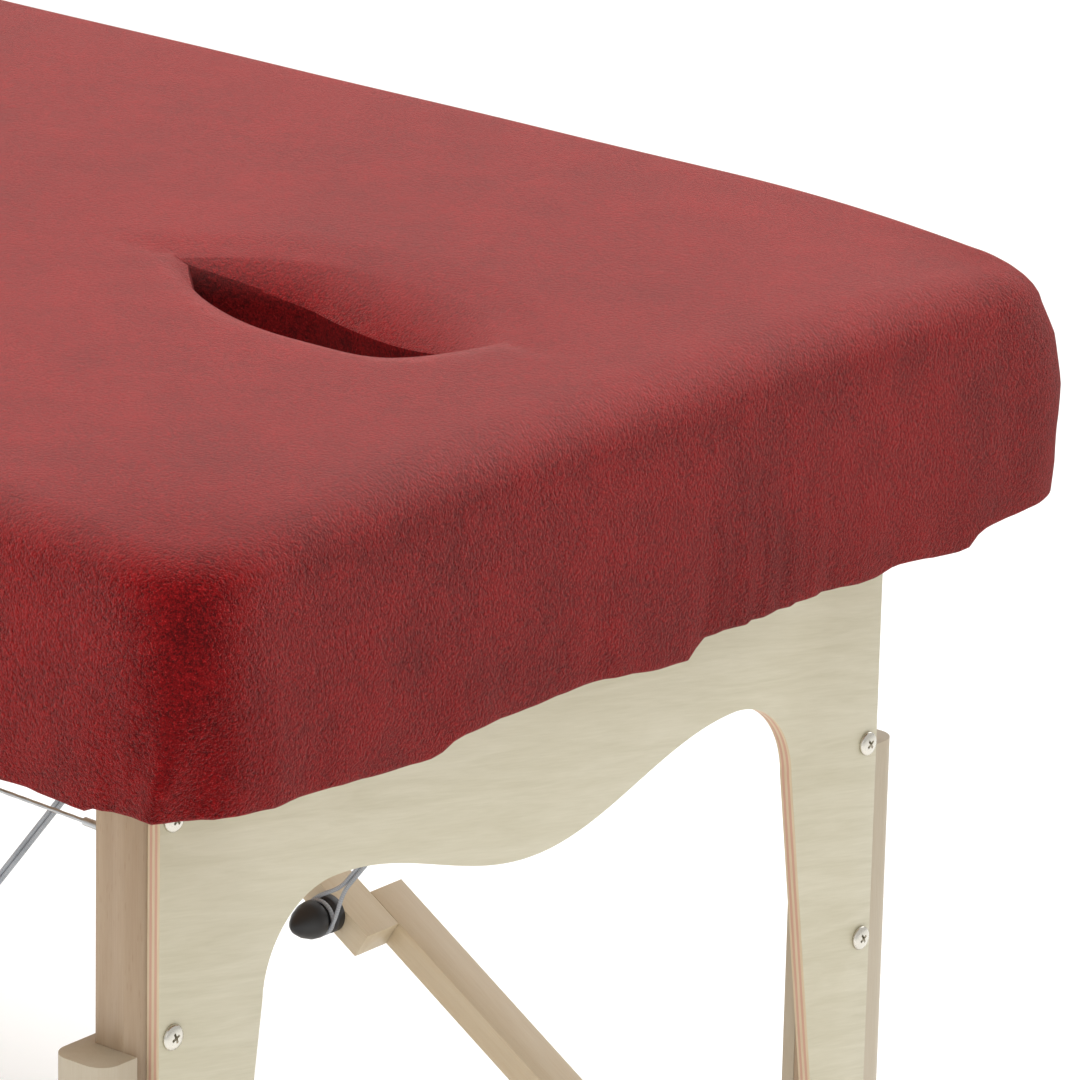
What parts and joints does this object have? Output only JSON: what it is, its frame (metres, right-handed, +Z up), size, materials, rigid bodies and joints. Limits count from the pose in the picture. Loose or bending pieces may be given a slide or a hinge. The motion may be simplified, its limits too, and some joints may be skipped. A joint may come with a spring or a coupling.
{
  "type": "portable massage table",
  "caption": "Folding wooden massage table with adjustable legs, plywood end panels, diagonal braces and a fitted fleece cover with a face opening.",
  "frame": {"origin": "on the floor, under the middle of the table", "axes": "+X along the table to the head end, +Y across the table, +Z up"},
  "size_m": [1.9, 0.7, 0.75],
  "materials": {
    "beech": "satin",
    "birch_ply": "satin",
    "pale_leg": "satin",
    "steel": "satin",
    "fleece": "matte",
    "vinyl": "satin",
    "rubber": "matte",
    "black_plastic": "satin",
    "cord": "satin",
    "wire_rope": "satin"
  },
  "bodies": {
    "head_frame": {"head_side_rails": "beech", "head_corner_blocks": "beech", "head_end_rail": "beech", "head_centre_rail": "beech", "head_deck": "birch_ply", "head_pad": "vinyl", "head_cover": "fleece", "head_pivot_blocks": "beech", "head_frame_bolts": "steel", "head_strut_brackets": "steel", "head_tie_eyes": "steel", "head_ties": "wire_rope", "head_hinge_leaf": "steel", "hinge_pin": "steel"},
    "head_legs": {"head_upper_legs": "beech", "head_end_panel": "birch_ply", "head_panel_screws": "steel", "head_stretcher": "beech", "head_leg_bolts": "steel", "head_stay_eyes": "steel", "head_stays": "cord"},
    "head_lower_braces": {"head_lower_struts": "beech"},
    "head_upper_braces": {"head_upper_struts": "beech", "head_pegs": "black_plastic"},
    "head_left_lower_leg": {"head_left_sleeve": "pale_leg", "head_left_foot": "rubber"},
    "head_left_clamp": {"head_left_knob": "black_plastic"},
    "head_right_lower_leg": {"head_right_sleeve": "pale_leg", "head_right_foot": "rubber"},
    "head_right_clamp": {"head_right_knob": "black_plastic"},
    "foot_frame": {"foot_side_rails": "beech", "foot_corner_blocks": "beech", "foot_end_rail": "beech", "foot_centre_rail": "beech", "foot_deck": "birch_ply", "foot_pad": "vinyl", "foot_cover": "fleece", "foot_pivot_blocks": "beech", "foot_frame_bolts": "steel", "foot_strut_brackets": "steel", "foot_tie_eyes": "steel", "foot_ties": "wire_rope", "foot_hinge_leaf": "steel"},
    "foot_legs": {"foot_upper_legs": "beech", "foot_end_panel": "birch_ply", "foot_panel_screws": "steel", "foot_stretcher": "beech", "foot_leg_bolts": "steel", "foot_stay_eyes": "steel", "foot_stays": "cord"},
    "foot_lower_braces": {"foot_lower_struts": "beech"},
    "foot_upper_braces": {"foot_upper_struts": "beech", "foot_pegs": "black_plastic"},
    "foot_left_lower_leg": {"foot_left_sleeve": "pale_leg", "foot_left_foot": "rubber"},
    "foot_left_clamp": {"foot_left_knob": "black_plastic"},
    "foot_right_lower_leg": {"foot_right_sleeve": "pale_leg", "foot_right_foot": "rubber"},
    "foot_right_clamp": {"foot_right_knob": "black_plastic"}
  },
  "joints": [
    {"name": "centre_fold", "type": "hinge", "parent": "head_frame", "child": "foot_frame", "pos_m": [0, 0, 0.6084], "axis": [0, -1, 0], "range_deg": [0, 80]},
    {"name": "head_leg_fold", "type": "hinge", "parent": "head_frame", "child": "head_legs", "pos_m": [0.841, 0, 0.642], "axis": [0, 1, 0], "range_deg": [0, 90], "deforming": ["head_ties"]},
    {"name": "head_lower_brace_swing", "type": "hinge", "parent": "head_legs", "child": "head_lower_braces", "pos_m": [0.846, 0, 0.122], "axis": [0, 1, 0], "range_deg": [0, 53.42], "deforming": ["head_stays"]},
    {"name": "head_upper_brace_swing", "type": "hinge", "parent": "head_frame", "child": "head_upper_braces", "pos_m": [0.06, 0, 0.617], "axis": [0, 1, 0], "range_deg": [-36.58, 0]},
    {"name": "head_left_height", "type": "slide", "parent": "head_legs", "child": "head_left_lower_leg", "axis": [0, 0, 1], "range_m": [-0.1, 0.08]},
    {"name": "head_left_knob_turn", "type": "hinge", "parent": "head_legs", "child": "head_left_clamp", "pos_m": [0.848, 0.316, 0.185], "axis": [0, 1, 0], "continuous": true},
    {"name": "head_right_height", "type": "slide", "parent": "head_legs", "child": "head_right_lower_leg", "axis": [0, 0, 1], "range_m": [-0.1, 0.08]},
    {"name": "head_right_knob_turn", "type": "hinge", "parent": "head_legs", "child": "head_right_clamp", "pos_m": [0.848, -0.316, 0.185], "axis": [0, -1, 0], "continuous": true},
    {"name": "foot_leg_fold", "type": "hinge", "parent": "foot_frame", "child": "foot_legs", "pos_m": [-0.841, 0, 0.642], "axis": [0, -1, 0], "range_deg": [0, 90], "deforming": ["foot_ties"]},
    {"name": "foot_lower_brace_swing", "type": "hinge", "parent": "foot_legs", "child": "foot_lower_braces", "pos_m": [-0.846, 0, 0.122], "axis": [0, -1, 0], "range_deg": [0, 53.42], "deforming": ["foot_stays"]},
    {"name": "foot_upper_brace_swing", "type": "hinge", "parent": "foot_frame", "child": "foot_upper_braces", "pos_m": [-0.06, 0, 0.617], "axis": [0, -1, 0], "range_deg": [-36.58, 0]},
    {"name": "foot_left_height", "type": "slide", "parent": "foot_legs", "child": "foot_left_lower_leg", "axis": [0, 0, 1], "range_m": [-0.1, 0.08]},
    {"name": "foot_left_knob_turn", "type": "hinge", "parent": "foot_legs", "child": "foot_left_clamp", "pos_m": [-0.848, 0.316, 0.185], "axis": [0, 1, 0], "continuous": true},
    {"name": "foot_right_height", "type": "slide", "parent": "foot_legs", "child": "foot_right_lower_leg", "axis": [0, 0, 1], "range_m": [-0.1, 0.08]},
    {"name": "foot_right_knob_turn", "type": "hinge", "parent": "foot_legs", "child": "foot_right_clamp", "pos_m": [-0.848, -0.316, 0.185], "axis": [0, -1, 0], "continuous": true}
  ],
  "couplings": [
    {"joint": "head_lower_brace_swing", "follows": "head_leg_fold", "ratio": 0.59352},
    {"joint": "head_upper_brace_swing", "follows": "head_leg_fold", "ratio": -0.40648},
    {"joint": "foot_lower_brace_swing", "follows": "foot_leg_fold", "ratio": 0.59352},
    {"joint": "foot_upper_brace_swing", "follows": "foot_leg_fold", "ratio": -0.40648}
  ]
}
